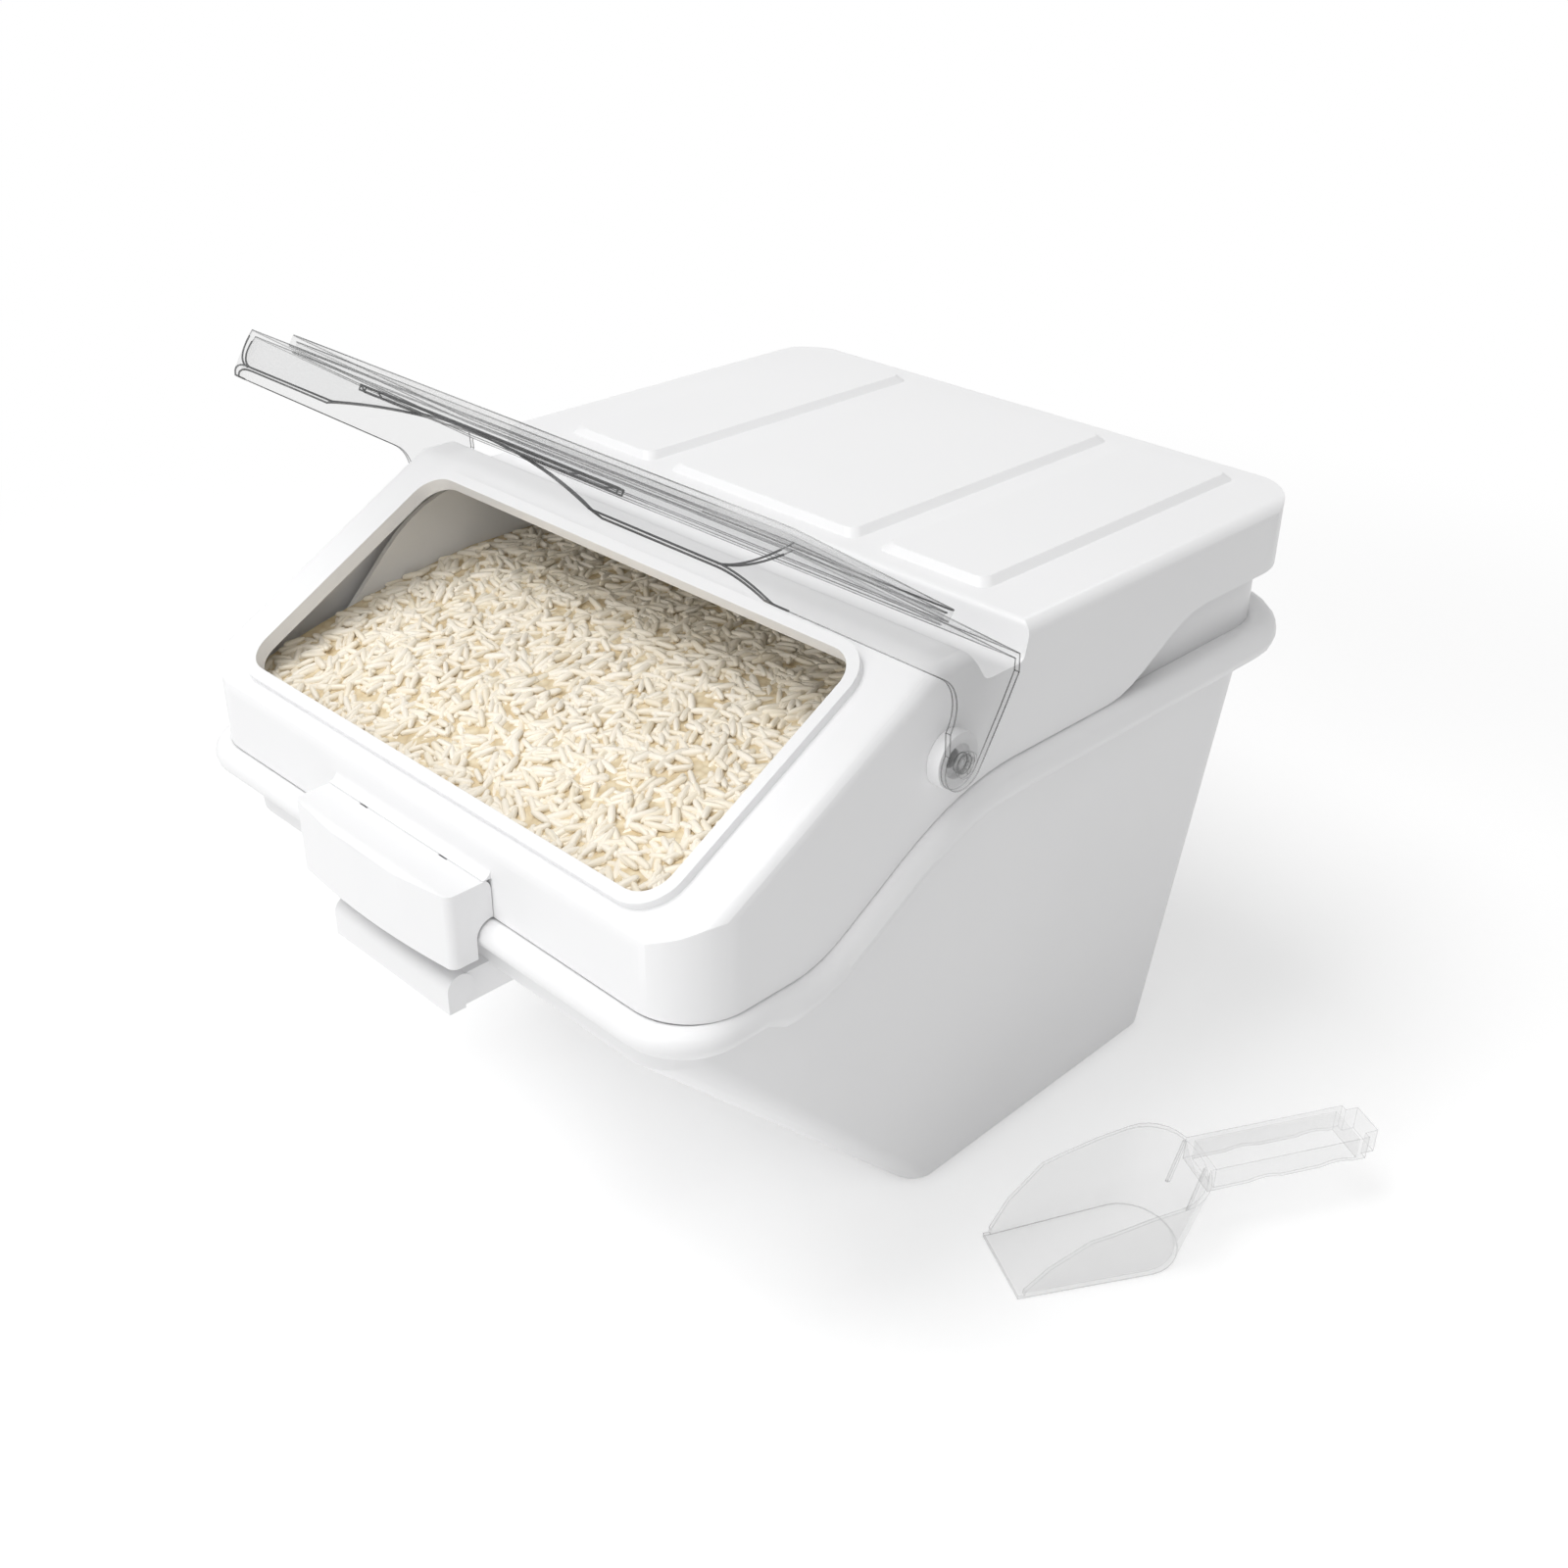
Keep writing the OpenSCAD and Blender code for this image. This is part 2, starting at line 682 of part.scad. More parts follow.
// The latch's plan, drawn in by inset: a crowned front with round corners
module latch_plan(inset) {
    half = latch_w / 2 - inset;
    crown = crown_r - inset;
    edge = max(latch_edge_r - inset, 0.5);
    centre = latch_front_y - latch_crown + crown_r;
    corner = centre - sqrt(pow(crown - edge, 2) - pow(half - edge, 2));
    meet = (half - edge) * crown / (crown - edge);
    intersection() {
        translate([0, centre]) circle(crown, $fn = 180);
        translate([-meet, latch_front_y - latch_crown - 1]) square([2 * meet, 60]);
    }
    translate([-half, corner]) square([2 * half, 60]);
    for (s = [-1, 1]) translate([s * (half - edge), corner]) circle(edge, $fn = round_fn);
}

module front_latch() {
    half = latch_w / 2;
    // The rear edge turns clear of the cover's wall
    rear_r = latch_axis_d - seat_gap;
    slot_r = lug_r + side_play;
    color("white") difference() {
        intersection() {
            union() {
                difference() {
                    along_x(-half, half) latch_profile(0);
                    intersection() {
                        along_x(-half, half) latch_profile(latch_t);
                        linear_extrude(far) latch_plan(latch_t);
                    }
                }
                along_x(-half, half) translate([latch_y, latch_axis_z]) {
                    circle(knuckle_r, $fn = round_fn);
                    intersection() {
                        circle(rear_r, $fn = round_fn);
                        translate([-eps, knuckle_r - latch_t]) square([rear_r, latch_t]);
                    }
                }
                for (s = [-1, 1]) along_x(s > 0 ? half - latch_t : -half, s > 0 ? half : -half + latch_t)
                    translate([latch_y, latch_axis_z]) {
                        translate([-eps, latch_foot - latch_axis_z])
                            square([rear_r + eps, latch_axis_z - latch_foot]);
                        intersection() {
                            circle(rear_r, $fn = round_fn);
                            translate([-eps, -eps]) square([rear_r, knuckle_r]);
                        }
                    }
            }
            linear_extrude(far) latch_plan(0);
        }
        for (s = [-1, 1])
            along_x(s * lug_span / 2 - lug_w / 2 - side_play, s * lug_span / 2 + lug_w / 2 + side_play)
                translate([latch_y, latch_axis_z]) {
                    circle(slot_r, $fn = round_fn);
                    polygon([[0, 0], [0, -slot_r], [12, -slot_r], [12, 12 * tan(latch_open)]]);
                }
        translate([-half + latch_t, latch_y, latch_axis_z]) rotate([0, 90, 0])
            cylinder(latch_w - 2 * latch_t, latch_pin_r + pin_gap, latch_pin_r + pin_gap, $fn = round_fn);
        along_x(-far / 2, far / 2) {
            translate([roll_y, roll_z]) circle(roll_front_r + nib_gap, $fn = round_fn);
            translate([roll_y - roll_front_r - nib_gap, latch_foot - 20])
                square([2 * (roll_front_r + nib_gap), roll_z - latch_foot + 20]);
        }
    }
}

// The lid's side outline with its arm, drawn in by inset: X forward from the hinge axis, Y up
module lid_side(inset) {
    top = lid_h - inset;
    foot = skirt_h;
    reach = lid_reach - inset;
    top_reach = lid_top_reach - inset;
    difference() {
        union() {
            polygon([
                [-lid_back - inset, top], [top_reach, top], [reach, lip_edge_h],
                [reach - 9, foot], [arm_neck + arm_round, foot],
                [arm_neck + arm_round, foot - arm_round], [arm_neck, foot - arm_round],
                [arm_r, 0], [-arm_r, 0], [-arm_r + 1, foot], [-arm_r + 2, top - 6]
            ]);
            circle(arm_r, $fn = round_fn);
        }
        translate([arm_neck + arm_round, foot - arm_round]) circle(arm_round, $fn = round_fn);
    }
}

// Places its children at the hinge: X across, Y forward along the lid, Z out of the lid
module on_lid() {
    translate([0, -pivot_front, pivot_z]) rotate([lid_rise, 0, 180]) children();
}

// Extrudes an outline drawn forward and up across the lid, from x0 to x1
module across_lid(x0, x1) {
    translate([x0, 0, 0]) rotate([90, 0, 90]) linear_extrude(x1 - x0) children();
}

// The lid's plan, drawn in by inset
module lid_plan(inset) {
    outline(arm_out - inset, arm_r + 20, lid_reach - inset, 6, lid_corner - inset);
}

module flip_lid() {
    arc_r = (pow(notch_w / 2, 2) + pow(notch_h, 2)) / (2 * notch_h);
    field_w = 2 * (arm_out - field_side);
    field_l = field_front - field_rear;
    field_y = (field_front + field_rear) / 2;
    color([0.86, 0.88, 0.89, 0.45]) on_lid() difference() {
        union() {
            difference() {
                intersection() {
                    across_lid(-arm_out, arm_out) lid_side(0);
                    translate([0, 0, -far / 2]) linear_extrude(far) lid_plan(0);
                }
                intersection() {
                    across_lid(-arm_in, arm_in) difference() {
                        translate([-far / 2, -far / 2]) square([far, far]);
                        polygon([
                            [-far, lid_h - lid_t], [lid_top_reach - lid_t, lid_h - lid_t],
                            [lid_reach - lid_t, lip_edge_h], [lid_reach + 20, lip_edge_h - 40],
                            [far, -far], [far, far], [-far, far]
                        ]);
                    }
                    translate([0, 0, -far / 2]) linear_extrude(far) lid_plan(lid_t);
                }
                across_lid(-arm_in, arm_in) translate([-far, -far]) square([far + 30, far + skirt_h]);
            }
            translate([0, field_y, lid_h - eps]) linear_extrude(field_h + eps)
                round_rect(field_w, field_l, field_r);
            intersection() {
                translate([0, lid_reach + pull_out - arc_r - 3, 0])
                    cylinder(lid_h, arc_r, arc_r, $fn = 180);
                translate([-notch_w / 2, lid_reach - 12, lip_edge_h + notch_h - 1])
                    cube([notch_w, 30, lid_t]);
            }
        }
        translate([0, field_y, lid_h - lid_t - 1]) linear_extrude(field_h + 1)
            round_rect(field_w - 2 * lid_t, field_l - 2 * lid_t, field_r - lid_t);
        translate([0, lid_reach + 20, lip_edge_h + notch_h - arc_r]) rotate([90, 0, 0])
            cylinder(34, arc_r, arc_r, $fn = 180);
        translate([-far / 2, 0, 0]) rotate([0, 90, 0])
            cylinder(far, pin_r + press_gap, pin_r + press_gap, $fn = round_fn);
    }
}

// Places its children at the scoop's front edge: X along the scoop, Y across, Z up
module on_scoop() {
    translate([scoop_x, -scoop_y, 0]) rotate([0, 0, 90 + scoop_turn]) children();
}

// The bowl's shape drawn in by inset
module bowl_form(inset) {
    back = bowl_l - inset;
    hull() {
        translate([0, 0, inset]) linear_extrude(eps) {
            translate([-1, -scoop_front_w / 2 + inset]) square([1, scoop_front_w - 2 * inset]);
            translate([back - bowl_back - bowl_r, 0])
                scale([1, (bowl_base_w - 2 * inset) / (2 * bowl_r)]) circle(bowl_r, $fn = hull_fn);
        }
        translate([0, 0, bowl_h + 4]) linear_extrude(eps) {
            translate([-1, -scoop_front_w / 2 - 4 + inset]) square([1, scoop_front_w + 8 - 2 * inset]);
            translate([mouth_l, -bowl_w / 2 + inset]) square([8, bowl_w - 2 * inset]);
            translate([back - bowl_r, 0])
                scale([1, (bowl_w - 2 * inset) / (2 * bowl_r)]) circle(bowl_r, $fn = hull_fn);
        }
    }
}

module scoop() {
    handle_x = bowl_l - 3;
    handle_top = bowl_h;
    color([0.9, 0.91, 0.92, 0.5]) on_scoop() difference() {
        union() {
            difference() {
                bowl_form(0);
                bowl_form(scoop_t);
                translate([-20, -far / 2, scoop_t]) cube([20 + scoop_t, far, far]);
            }
            intersection() {
                difference() {
                    bowl_form(scoop_t - 0.1);
                    bowl_form(scoop_t + rib_h);
                }
                for (s = [-1, 1]) translate([bowl_l / 2, s * (handle_w / 2 - 2) - rib_t / 2, bowl_h - rib_l])
                    cube([far, rib_t, far]);
            }
            translate([handle_x, -handle_w / 2, handle_top - handle_d])
                cube([handle_l - handle_end, handle_w, handle_d]);
            translate([handle_x + handle_l - handle_end - eps, -handle_w / 2 + 3, handle_top - handle_d])
                cube([handle_end, handle_w - 6, handle_d]);
        }
        rotate([90, 0, 0]) translate([0, 0, -far / 2]) linear_extrude(far) polygon([
            [-20, scoop_t], [0, scoop_t], [mouth_l * 0.4, mouth_h * 0.55], [mouth_l, mouth_h],
            [bowl_l * 0.6, bowl_h - 5], [bowl_l - 6, bowl_h], [far, bowl_h], [far, far], [-20, far]
        ]);
        translate([handle_x + 4, -handle_w / 2 + scoop_t, handle_top - handle_d - 1])
            cube([handle_l - handle_end - 8, handle_w - 2 * scoop_t, handle_d - scoop_t + 1]);
        for (x = [0.34, 0.76])
            translate([handle_x + x * handle_l, far / 2, handle_top - handle_d - scallop_r + scallop_d])
                rotate([90, 0, 0]) cylinder(far, scallop_r, scallop_r, $fn = 96);
    }
}

bin_body();
front_grip();
rice_fill();
cover_shell();
mirror([1, 0, 0]) pivot_bush();  // left_pivot_bush
pivot_bush();  // right_pivot_bush
latch_bracket();
latch_pin();
front_latch();
flip_lid();
mirror([1, 0, 0]) hinge_pin();  // left_hinge_pin
hinge_pin();  // right_hinge_pin
scoop();
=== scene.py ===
"""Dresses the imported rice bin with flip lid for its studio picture.

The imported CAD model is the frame. Each sub-assembly of the bin is a class below: it holds its
sizes in metres, builds its meshes in the frame's axes, and gives them their finish.
"""

import json
import logging
import math
import random
from collections.abc import Callable, Iterable
from dataclasses import dataclass
from enum import Enum

import bmesh
import bpy
import numpy as np
from mathutils import Euler, Matrix, Vector, noise

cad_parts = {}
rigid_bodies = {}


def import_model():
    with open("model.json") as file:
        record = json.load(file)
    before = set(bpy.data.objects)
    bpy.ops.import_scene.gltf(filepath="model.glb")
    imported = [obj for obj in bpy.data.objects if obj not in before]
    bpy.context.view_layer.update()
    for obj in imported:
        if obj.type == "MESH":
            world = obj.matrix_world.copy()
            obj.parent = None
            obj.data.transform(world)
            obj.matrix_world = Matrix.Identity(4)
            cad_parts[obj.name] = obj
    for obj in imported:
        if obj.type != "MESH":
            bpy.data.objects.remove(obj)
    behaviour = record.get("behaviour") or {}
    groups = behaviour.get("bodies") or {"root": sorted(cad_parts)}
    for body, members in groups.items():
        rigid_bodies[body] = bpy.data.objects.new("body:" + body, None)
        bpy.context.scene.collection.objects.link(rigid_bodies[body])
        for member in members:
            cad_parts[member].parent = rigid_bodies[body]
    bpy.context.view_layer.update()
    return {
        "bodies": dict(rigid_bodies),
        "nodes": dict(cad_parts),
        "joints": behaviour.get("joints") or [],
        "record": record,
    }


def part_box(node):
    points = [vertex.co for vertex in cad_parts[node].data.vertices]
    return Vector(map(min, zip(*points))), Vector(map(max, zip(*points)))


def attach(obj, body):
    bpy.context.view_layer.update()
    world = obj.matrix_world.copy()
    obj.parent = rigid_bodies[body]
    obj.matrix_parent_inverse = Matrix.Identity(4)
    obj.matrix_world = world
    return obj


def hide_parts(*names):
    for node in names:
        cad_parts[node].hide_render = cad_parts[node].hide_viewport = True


LOG = logging.getLogger("rice_bin")
MM = 0.001

# How a CAD node's mesh is cleaned up and rounded: points closer than MERGE_GAP become one, faces
# that turn by less than FLAT_WITHIN become one, and edges that turn by more than SHARP_FROM are
# bevelled. What turns by less than SMOOTH_WITHIN is shaded smooth.
MERGE_GAP = 0.01 * MM
FLAT_WITHIN = math.radians(0.6)
SHARP_FROM = math.radians(32)
SMOOTH_WITHIN = math.radians(35)

# Edges that turn by more than SHADE_EDGE_FROM radians get a line of painted shade,
# SHADE_EDGE_DEPTH below the surface.
SHADE_EDGE_FROM = 0.5
SHADE_EDGE_DEPTH = 0.1 * MM

# The grains' own tone, from 0 for pale to 1 for deep.
TONE = "tone"


class Slot(Enum):
    """Material slots of the record."""

    WHITE = "white_plastic"
    CLEAR = "clear_plastic"
    PIN = "clear_pin"
    RICE = "rice"


# Finishes


def new_material(name: str) -> tuple[bpy.types.Material, bpy.types.NodeTree, bpy.types.Node]:
    """Makes a node material with one Principled shader.

    Args:
        name: The material's name.

    Returns:
        The material, its node tree and its Principled node.
    """
    material = bpy.data.materials.new(name)
    material.use_nodes = True
    tree = material.node_tree
    return material, tree, tree.nodes["Principled BSDF"]


@dataclass(frozen=True)
class WhitePlastic:
    """Injection moulded white polypropylene: satin, with a faint moulded grain."""

    color: tuple[float, float, float] = (0.905, 0.905, 0.91)
    shade: tuple[float, float, float] = (0.87, 0.87, 0.875)
    duller: float = 0.40
    glossier: float = 0.29
    cloud_scale: float = 9.0
    cloud_detail: float = 3.0
    grain_scale: float = 900.0
    grain_strength: float = 0.25
    grain_depth: float = 0.03 * MM
    ior: float = 1.49

    def make(self, name: str) -> bpy.types.Material:
        """Builds the material.

        Args:
            name: The material's name.

        Returns:
            The finished material.
        """
        material, tree, shader = new_material(name)
        nodes, links = tree.nodes, tree.links
        place = nodes.new("ShaderNodeTexCoord")
        cloud = nodes.new("ShaderNodeTexNoise")
        cloud.inputs["Scale"].default_value = self.cloud_scale
        cloud.inputs["Detail"].default_value = self.cloud_detail
        tone = nodes.new("ShaderNodeMix")
        tone.data_type = "RGBA"
        tone.inputs["A"].default_value = (*self.color, 1)
        tone.inputs["B"].default_value = (*self.shade, 1)
        grain = nodes.new("ShaderNodeTexNoise")
        grain.inputs["Scale"].default_value = self.grain_scale
        bump = nodes.new("ShaderNodeBump")
        bump.inputs["Strength"].default_value = self.grain_strength
        bump.inputs["Distance"].default_value = self.grain_depth
        gloss = nodes.new("ShaderNodeMapRange")
        gloss.inputs["To Min"].default_value = self.glossier
        gloss.inputs["To Max"].default_value = self.duller
        links.new(place.outputs["Object"], cloud.inputs["Vector"])
        links.new(place.outputs["Object"], grain.inputs["Vector"])
        links.new(cloud.outputs["Fac"], tone.inputs["Factor"])
        links.new(tone.outputs["Result"], shader.inputs["Base Color"])
        links.new(cloud.outputs["Fac"], gloss.inputs["Value"])
        links.new(gloss.outputs["Result"], shader.inputs["Roughness"])
        links.new(grain.outputs["Fac"], bump.inputs["Height"])
        links.new(bump.outputs["Normal"], shader.inputs["Normal"])
        shader.inputs["IOR"].default_value = self.ior
        return material


@dataclass(frozen=True)
class ClearPlastic:
    """Thin clear styrene acrylonitrile: faint on its walls, with crisp grey lines on its edges
    that are painted shade.

    tint is how much light a wall lets through, milk how much of the body's colour shows where a
    wall is faced, and grazing how much more of it shows where the wall is seen edge on. The lines
    are painted shade that stands in for the dark refraction along the edges; they let through
    from painted_shade_low to painted_shade_high.
    """

    tint: float = 0.945
    milk: float = 0.03
    grazing: float = 0.30
    edge_on: float = 4.0
    body: tuple[float, float, float] = (0.80, 0.81, 0.82)
    glossier: float = 0.05
    duller: float = 0.12
    haze_scale: float = 24.0
    painted_shade_low: float = 0.45
    painted_shade_high: float = 0.90
    painted_shade_shine: float = 0.12
    painted_shade_scale: float = 14.0
    painted_shade_detail: float = 2.0
    painted_shade_spread: tuple[float, float] = (0.35, 0.65)
    ior: float = 1.5

    def start(self, name: str) -> tuple[bpy.types.Material, bpy.types.NodeTree, bpy.types.Node,
                                        bpy.types.Node, bpy.types.Node]:
        """Starts a see-through material: a Transparent shader under a thin glossy one.

        Args:
            name: The material's name.

        Returns:
            The material, its tree, its Transparent node, its Mix Shader and its noise.
        """
        material, tree, gloss = new_material(name)
        nodes, links = tree.nodes, tree.links
        place = nodes.new("ShaderNodeTexCoord")
        haze = nodes.new("ShaderNodeTexNoise")
        haze.inputs["Scale"].default_value = self.haze_scale
        polish = nodes.new("ShaderNodeMapRange")
        polish.inputs["To Min"].default_value = self.glossier
        polish.inputs["To Max"].default_value = self.duller
        see = nodes.new("ShaderNodeBsdfTransparent")
        mix = nodes.new("ShaderNodeMixShader")
        gloss.inputs["Base Color"].default_value = (*self.body, 1)
        gloss.inputs["IOR"].default_value = self.ior
        links.new(place.outputs["Object"], haze.inputs["Vector"])
        links.new(haze.outputs["Fac"], polish.inputs["Value"])
        links.new(polish.outputs["Result"], gloss.inputs["Roughness"])
        links.new(see.outputs["BSDF"], mix.inputs[1])
        links.new(gloss.outputs["BSDF"], mix.inputs[2])
        links.new(mix.outputs["Shader"], nodes["Material Output"].inputs["Surface"])
        return material, tree, see, mix, haze

    def wall(self, name: str) -> bpy.types.Material:
        """Builds the finish of the walls, which turn greyer where they are seen edge on.

        Args:
            name: The material's name.

        Returns:
            The finished material.
        """
        material, tree, see, mix, _haze = self.start(name)
        nodes, links = tree.nodes, tree.links
        see.inputs["Color"].default_value = (self.tint, self.tint, self.tint, 1)
        facing = nodes.new("ShaderNodeLayerWeight")
        facing.inputs["Blend"].default_value = 0.5
        steep = nodes.new("ShaderNodeMath")
        steep.operation = "POWER"
        steep.inputs[1].default_value = self.edge_on
        amount = nodes.new("ShaderNodeMapRange")
        amount.inputs["To Min"].default_value = self.milk
        amount.inputs["To Max"].default_value = self.milk + self.grazing
        links.new(facing.outputs["Facing"], steep.inputs[0])
        links.new(steep.outputs["Value"], amount.inputs["Value"])
        links.new(amount.outputs["Result"], mix.inputs["Fac"])
        return material

    def line(self, name: str) -> bpy.types.Material:
        """Builds the finish of the edges: painted shade, grey streaks that stand in for trapped
        light.

        Args:
            name: The material's name.

        Returns:
            The finished material.
        """
        material, tree, see, mix, haze = self.start(name)
        nodes, links = tree.nodes, tree.links
        haze.inputs["Scale"].default_value = self.painted_shade_scale
        haze.inputs["Detail"].default_value = self.painted_shade_detail
        # Painted shade: the noise sets how much each stretch of line lets through.
        tone = nodes.new("ShaderNodeMapRange")
        tone.inputs["From Min"].default_value = self.painted_shade_spread[0]
        tone.inputs["From Max"].default_value = self.painted_shade_spread[1]
        tone.inputs["To Min"].default_value = self.painted_shade_low
        tone.inputs["To Max"].default_value = self.painted_shade_high
        links.new(haze.outputs["Fac"], tone.inputs["Value"])
        links.new(tone.outputs["Result"], see.inputs["Color"])
        mix.inputs["Fac"].default_value = self.painted_shade_shine
        return material


@dataclass(frozen=True)
class PlainSteel:
    """Plain drawn steel wire for the hidden latch pin."""

    color: tuple[float, float, float] = (0.56, 0.56, 0.57)
    glossier: float = 0.25
    duller: float = 0.4
    draw_scale: float = 700.0

    def make(self, name: str) -> bpy.types.Material:
        """Builds the material.

        Args:
            name: The material's name.

        Returns:
            The finished material.
        """
        material, tree, shader = new_material(name)
        nodes, links = tree.nodes, tree.links
        place = nodes.new("ShaderNodeTexCoord")
        draw = nodes.new("ShaderNodeTexNoise")
        draw.inputs["Scale"].default_value = self.draw_scale
        gloss = nodes.new("ShaderNodeMapRange")
        gloss.inputs["To Min"].default_value = self.glossier
        gloss.inputs["To Max"].default_value = self.duller
        links.new(place.outputs["Object"], draw.inputs["Vector"])
        links.new(draw.outputs["Fac"], gloss.inputs["Value"])
        links.new(gloss.outputs["Result"], shader.inputs["Roughness"])
        shader.inputs["Base Color"].default_value = (*self.color, 1)
        shader.inputs["Metallic"].default_value = 1.0
        return material


@dataclass(frozen=True)
class RiceGrain:
    """Raw long-grain rice: cream, waxy, each grain with a tone of its own."""

    pale: tuple[float, float, float] = (0.97, 0.91, 0.80)
    deep: tuple[float, float, float] = (0.92, 0.83, 0.66)
    roughness: float = 0.38

    def make(self, name: str) -> bpy.types.Material:
        """Builds the material.

        Args:
            name: The material's name.

        Returns:
            The finished material.
        """
        material, tree, shader = new_material(name)
        nodes, links = tree.nodes, tree.links
        tone = nodes.new("ShaderNodeAttribute")
        tone.attribute_name = TONE
        mix = nodes.new("ShaderNodeMix")
        mix.data_type = "RGBA"
        mix.inputs["A"].default_value = (*self.pale, 1)
        mix.inputs["B"].default_value = (*self.deep, 1)
        links.new(tone.outputs["Fac"], mix.inputs["Factor"])
        links.new(mix.outputs["Result"], shader.inputs["Base Color"])
        shader.inputs["Roughness"].default_value = self.roughness
        return material


@dataclass(frozen=True)
class PaintedShadeBedOfRice:
    """The rice below the top layer, painted in shade: dark cream for the shade in the gaps among
    the grains, darkest at the borders of its cells.
    """

    light: tuple[float, float, float] = (0.88, 0.78, 0.58)
    painted_shade: tuple[float, float, float] = (0.62, 0.48, 0.28)
    roughness: float = 0.7
    cell_scale: float = 260.0
    cell_depth: float = 1 * MM

    def make(self, name: str) -> bpy.types.Material:
        """Builds the material.

        Args:
            name: The material's name.

        Returns:
            The finished material.
        """
        material, tree, shader = new_material(name)
        nodes, links = tree.nodes, tree.links
        place = nodes.new("ShaderNodeTexCoord")
        voronoi_shade = nodes.new("ShaderNodeTexVoronoi")
        voronoi_shade.inputs["Scale"].default_value = self.cell_scale
        mix = nodes.new("ShaderNodeMix")
        mix.data_type = "RGBA"
        mix.inputs["A"].default_value = (*self.light, 1)
        mix.inputs["B"].default_value = (*self.painted_shade, 1)
        bump = nodes.new("ShaderNodeBump")
        bump.inputs["Distance"].default_value = self.cell_depth
        links.new(place.outputs["Object"], voronoi_shade.inputs["Vector"])
        # Painted shade: darker away from each cell's centre, as in the creases among grains.
        links.new(voronoi_shade.outputs["Distance"], mix.inputs["Factor"])
        links.new(mix.outputs["Result"], shader.inputs["Base Color"])
        links.new(voronoi_shade.outputs["Distance"], bump.inputs["Height"])
        links.new(bump.outputs["Normal"], shader.inputs["Normal"])
        shader.inputs["Roughness"].default_value = self.roughness
        return material


# The bench: small tools that every class uses


class Bench:
    """Puts pieces in edit mode, finishes them and fastens them to the frame."""

    def __init__(self, frame: dict) -> None:
        """Keeps the loaded frame.
        """
        self.frame = frame

    @staticmethod
    def clear() -> None:
        """Deselects everything."""
        bpy.ops.object.select_all(action="DESELECT")

    def pick(self, piece: bpy.types.Object) -> None:
        """Selects one piece alone and makes it active.

        Args:
            piece: The piece.
        """
        self.clear()
        piece.select_set(True)
        bpy.context.view_layer.objects.active = piece

    def from_node(self, node: str, name: str) -> bpy.types.Object:
        """Copies a CAD node's mesh and merges its loose triangles.

        Args:
            node: The CAD node.
            name: The new piece's name.

        Returns:
            The new piece, at the origin.
        """
        piece = bpy.data.objects.new(name, self.frame["nodes"][node].data.copy())
        bpy.context.scene.collection.objects.link(piece)
        piece.data.materials.clear()
        self.pick(piece)
        bpy.ops.object.mode_set(mode="EDIT")
        bpy.ops.mesh.select_all(action="SELECT")
        bpy.ops.mesh.remove_doubles(threshold=MERGE_GAP)
        bpy.ops.mesh.dissolve_limited(angle_limit=FLAT_WITHIN)
        bpy.ops.object.mode_set(mode="OBJECT")
        return piece

    def round_edges(self, piece: bpy.types.Object, width: float, segments: int) -> None:
        """Rounds the sharp edges with an applied Bevel modifier, and keeps the large faces flat.

        Args:
            piece: The piece.
            width: The bevel's width in metres.
            segments: The bevel's segments.
        """
        self.pick(piece)
        bevel = piece.modifiers.new("soft_edges", "BEVEL")
        bevel.width = width
        bevel.segments = segments
        bevel.limit_method = "ANGLE"
        bevel.angle_limit = SHARP_FROM
        bevel.use_clamp_overlap = True
        bpy.ops.object.modifier_apply(modifier=bevel.name)
        bpy.ops.object.shade_smooth_by_angle(angle=SMOOTH_WITHIN)
        level = piece.modifiers.new("flat_faces", "WEIGHTED_NORMAL")
        level.keep_sharp = True
        bpy.ops.object.modifier_apply(modifier=level.name)

    def edge_lines(self, node: str, name: str, radius: float, wanted: Callable[[Vector], bool],
                   step: float = 6 * MM) -> bpy.types.Object:
        """Draws round lines of painted shade just inside a node's sharp edges, where clear
        plastic looks dark.

        Args:
            node: The CAD node.
            name: The new piece's name.
            radius: The lines' radius in metres.
            wanted: Says whether a place on an edge gets a line.
            step: Long edges are cut to this length, in metres.

        Returns:
            The new piece.
        """
        piece = self.from_node(node, name)
        solid = bmesh.new()
        solid.from_mesh(piece.data)
        inward: dict[int, Vector] = {}
        sharp = [e for e in solid.edges
                 if len(e.link_faces) == 2 and e.calc_face_angle(0) > SHADE_EDGE_FROM]
        for edge in sharp:
            way = (edge.link_faces[0].normal + edge.link_faces[1].normal).normalized()
            for vert in edge.verts:
                inward[vert.index] = inward.get(vert.index, Vector()) - way
        lines = bmesh.new()
        solid.verts.ensure_lookup_table()
        depth = radius + SHADE_EDGE_DEPTH
        ends = {i: lines.verts.new(solid.verts[i].co + way.normalized() * depth)
                for i, way in inward.items()}
        for edge in sharp:
            first, last = (ends[v.index] for v in edge.verts)
            cuts = max(1, math.ceil(edge.calc_length() / step))
            between = [lines.verts.new(first.co.lerp(last.co, k / cuts)) for k in range(1, cuts)]
            chain = [first, *between, last]
            for one, two in zip(chain, chain[1:]):
                if wanted((one.co + two.co) / 2):
                    lines.edges.new((one, two))
        loose = [v for v in lines.verts if not v.link_edges]
        bmesh.ops.delete(lines, geom=loose, context="VERTS")
        lines.to_mesh(piece.data)
        lines.free()
        solid.free()
        self.pick(piece)
        bpy.ops.object.convert(target="CURVE")
        piece.data.bevel_depth = radius
        piece.data.bevel_resolution = 1
        piece.data.use_fill_caps = True
        bpy.ops.object.convert(target="MESH")
        bpy.ops.object.shade_smooth()
        return piece

